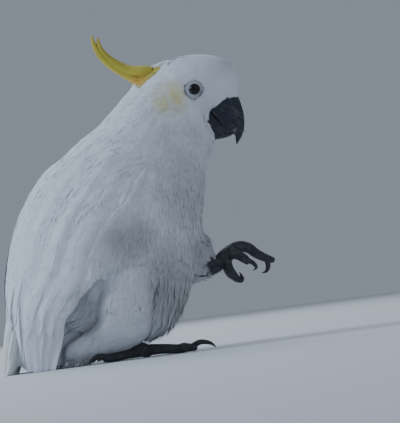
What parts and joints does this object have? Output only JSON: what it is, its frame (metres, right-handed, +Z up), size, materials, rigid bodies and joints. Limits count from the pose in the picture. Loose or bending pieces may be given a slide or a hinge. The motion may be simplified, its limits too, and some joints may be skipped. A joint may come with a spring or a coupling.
{
  "type": "sulphur-crested cockatoo",
  "caption": "Life-size still model of a white cockatoo with a folded yellow crest, standing on one foot with the other foot raised in front.",
  "frame": {"origin": "centre of the bird's box seen from above, on the floor that it stands on", "axes": "+X the way the bird faces, +Y to its left, +Z up"},
  "size_m": [0.3148, 0.1514, 0.3605],
  "materials": {
    "plumage": "soft matt white feathers in overlapping vanes",
    "tail_feathers": "matt white feathers with a faint yellow wash",
    "crest_feathers": "matt sulphur-yellow feathers",
    "bill": "blue-black horn with a thin grey powder",
    "eye": "wet, near-black brown",
    "foot_scales": "dark grey scaly skin",
    "claw": "black horn, half gloss"
  },
  "bodies": {
    "root": {"head": "plumage", "neck": "plumage", "trunk": "plumage", "wing_right": "plumage", "wing_left": "plumage", "thigh_right": "plumage", "thigh_left": "plumage", "tail": "tail_feathers", "crest_upper": "crest_feathers", "crest_lower": "crest_feathers", "bill_upper": "bill", "bill_lower": "bill", "eye_right": "eye", "eye_left": "eye", "tarsus_right": "foot_scales", "tarsus_left": "foot_scales", "toe_right_1": "foot_scales", "toe_right_2": "foot_scales", "toe_right_3": "foot_scales", "toe_right_4": "foot_scales", "toe_left_1": "foot_scales", "toe_left_2": "foot_scales", "toe_left_3": "foot_scales", "toe_left_4": "foot_scales", "claw_right_1": "claw", "claw_right_2": "claw", "claw_right_3": "claw", "claw_right_4": "claw", "claw_left_1": "claw", "claw_left_2": "claw", "claw_left_3": "claw", "claw_left_4": "claw"}
  },
  "joints": []
}
